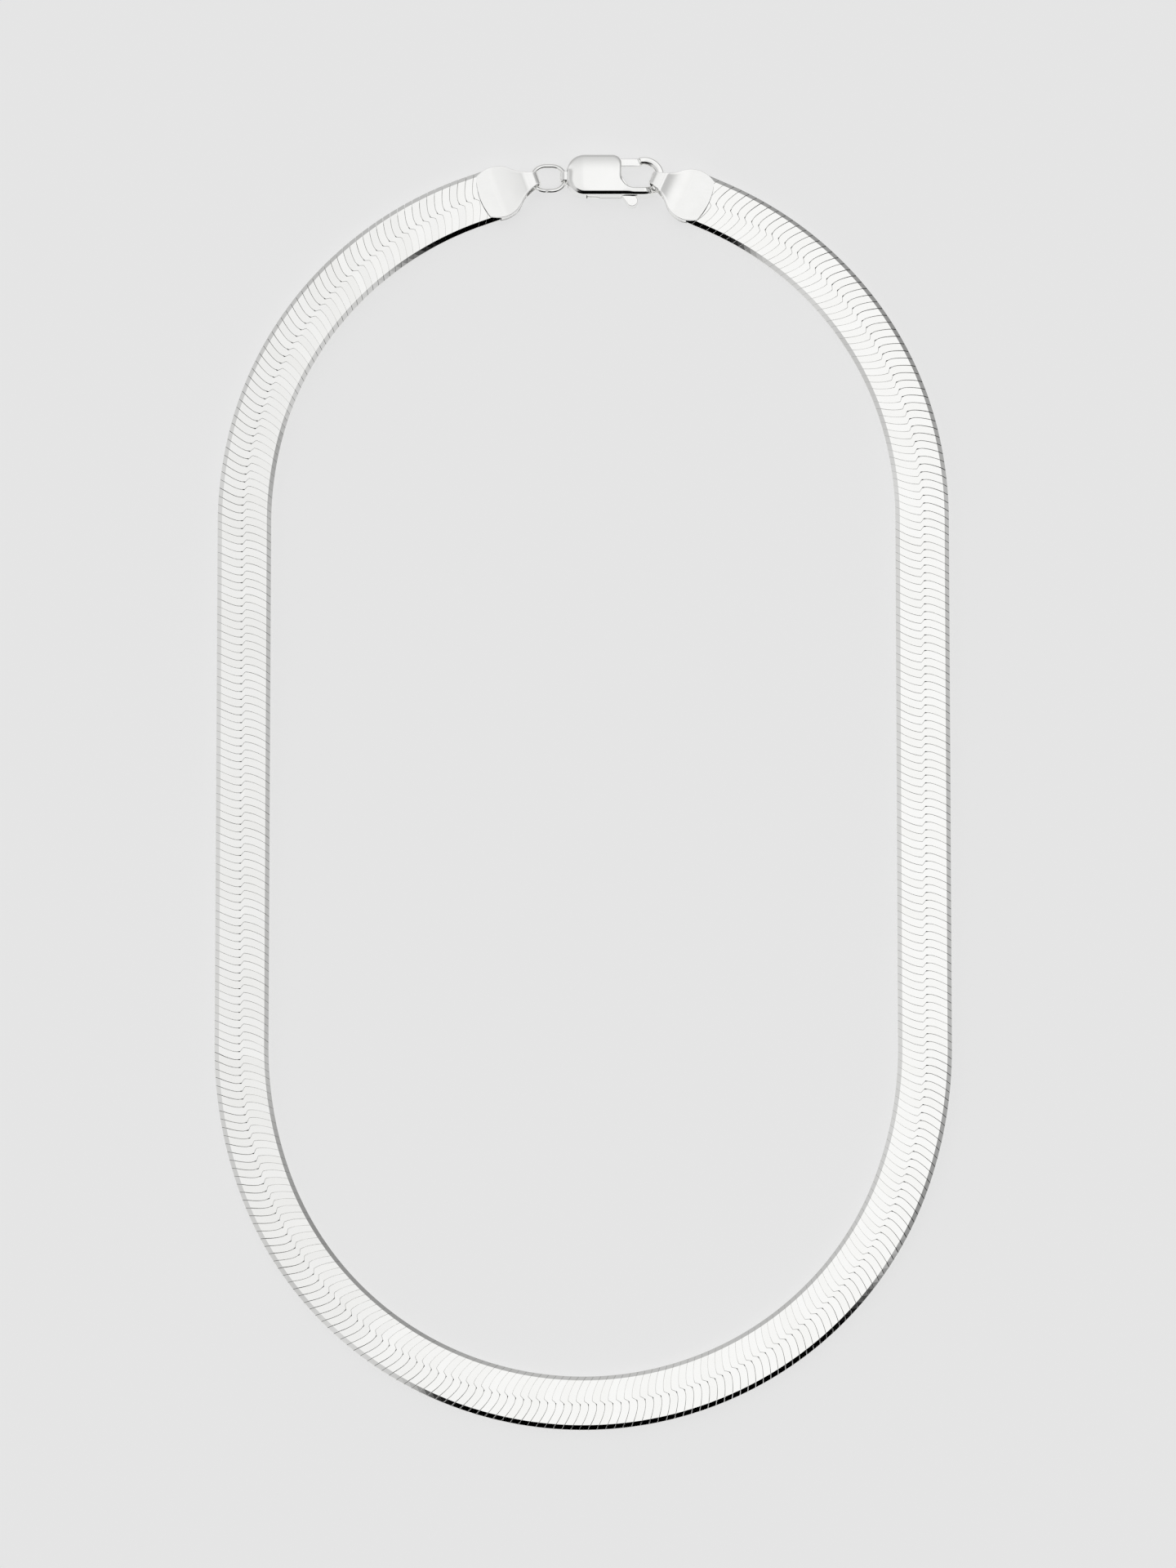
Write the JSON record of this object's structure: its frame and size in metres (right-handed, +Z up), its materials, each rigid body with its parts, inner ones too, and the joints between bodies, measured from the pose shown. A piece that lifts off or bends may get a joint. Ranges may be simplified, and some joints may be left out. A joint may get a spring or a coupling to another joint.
{
  "type": "herringbone chain necklace",
  "caption": "Flat herringbone chain necklace in polished silver, bevelled along both edges, with folded end caps, a jump ring and a trigger clasp.",
  "frame": {"origin": "middle of the loop's footprint, on the surface the necklace lies on", "axes": "+Y along the loop's length towards the clasp; +Z up from the surface; +X to the right as seen from above"},
  "size_m": [0.1028, 0.1826, 0.003],
  "materials": {
    "chain_silver": "polished",
    "cap_silver": "polished",
    "ring_silver": "polished",
    "clasp_silver": "polished",
    "lever_silver": "polished"
  },
  "bodies": {
    "necklace": {"herringbone_chain": "chain_silver", "end_cap_left": "cap_silver", "end_cap_right": "cap_silver", "jump_ring": "ring_silver", "clasp_body": "clasp_silver"},
    "lever": {"clasp_lever": "lever_silver"}
  },
  "joints": [
    {"name": "lever_pivot", "type": "hinge", "parent": "necklace", "child": "lever", "pos_m": [0.00365, 0.08947, 0.0015], "axis": [0, 0, -1], "range_deg": [0, 25], "stiffness_Nm_per_rad": 0.03, "springref_deg": -11.46}
  ]
}
